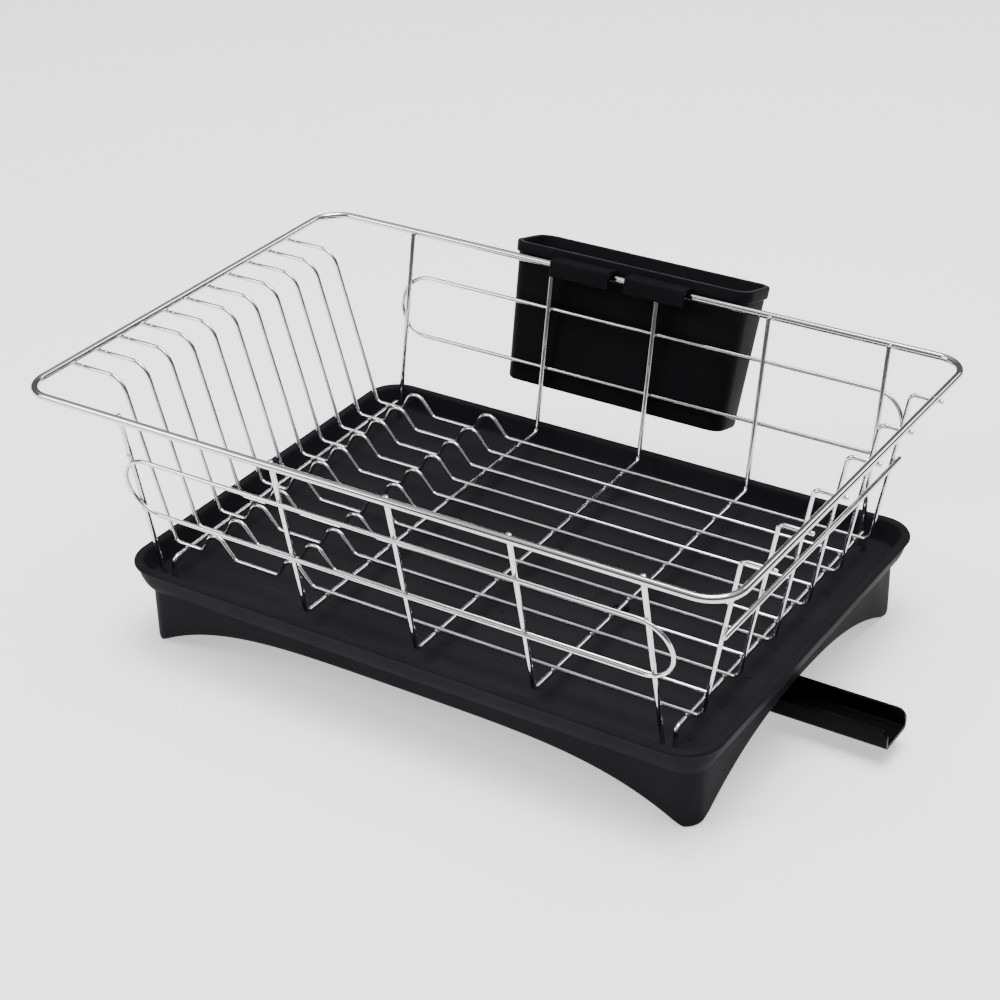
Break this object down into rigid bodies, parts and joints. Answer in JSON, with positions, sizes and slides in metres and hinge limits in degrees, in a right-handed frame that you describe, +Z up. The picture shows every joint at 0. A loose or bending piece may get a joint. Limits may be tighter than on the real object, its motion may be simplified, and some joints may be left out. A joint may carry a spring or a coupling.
{
  "type": "dish drying rack",
  "caption": "Welded wire dish rack with flared walls and humped plate slots, standing in an arched drip tray with a swivelling drain spout, and a hang-on cutlery holder.",
  "frame": {"origin": "middle of the whole object's bounding box, on the worktop it stands on", "axes": "+X along the long side towards the drain spout, +Y towards the cutlery holder, +Z up"},
  "size_m": [0.4829, 0.3422, 0.1668],
  "materials": {
    "wire": "bright polished round wire, resistance welded",
    "tray": "black plastic with a fine satin grain",
    "spout": "smooth glossy black plastic",
    "holder": "black satin plastic"
  },
  "bodies": {
    "tray": {"drip_tray": "tray"},
    "rack": {"rim": "wire", "plate_wire_01": "wire", "plate_wire_02": "wire", "plate_wire_03": "wire", "plate_wire_04": "wire", "plate_wire_05": "wire", "plate_wire_06": "wire", "plate_wire_07": "wire", "plate_wire_08": "wire", "plate_wire_09": "wire", "plate_wire_10": "wire", "plate_wire_11": "wire", "cross_wire_1": "wire", "cross_wire_2": "wire", "cross_wire_3": "wire", "end_bar_left": "wire", "end_bar_right": "wire", "corner_wire_front_left": "wire", "corner_wire_back_left": "wire", "corner_wire_front_right": "wire", "corner_wire_back_right": "wire", "front_rail": "wire", "back_rail": "wire", "side_bar": "wire"},
    "spout": {"spout": "spout"},
    "holder": {"cutlery_holder": "holder"}
  },
  "joints": [
    {"name": "rack_lift", "type": "slide", "parent": "tray", "child": "rack", "axis": [0, 0, 1], "range_m": [0, 0.1]},
    {"name": "spout_swivel", "type": "hinge", "parent": "tray", "child": "spout", "pos_m": [0.07125, -0.03108, 0.02], "axis": [0, 0, 1], "range_deg": [-11, 20]},
    {"name": "holder_lift", "type": "slide", "parent": "rack", "child": "holder", "axis": [0, 0.2588, 0.9659], "range_m": [0, 0.11]}
  ]
}
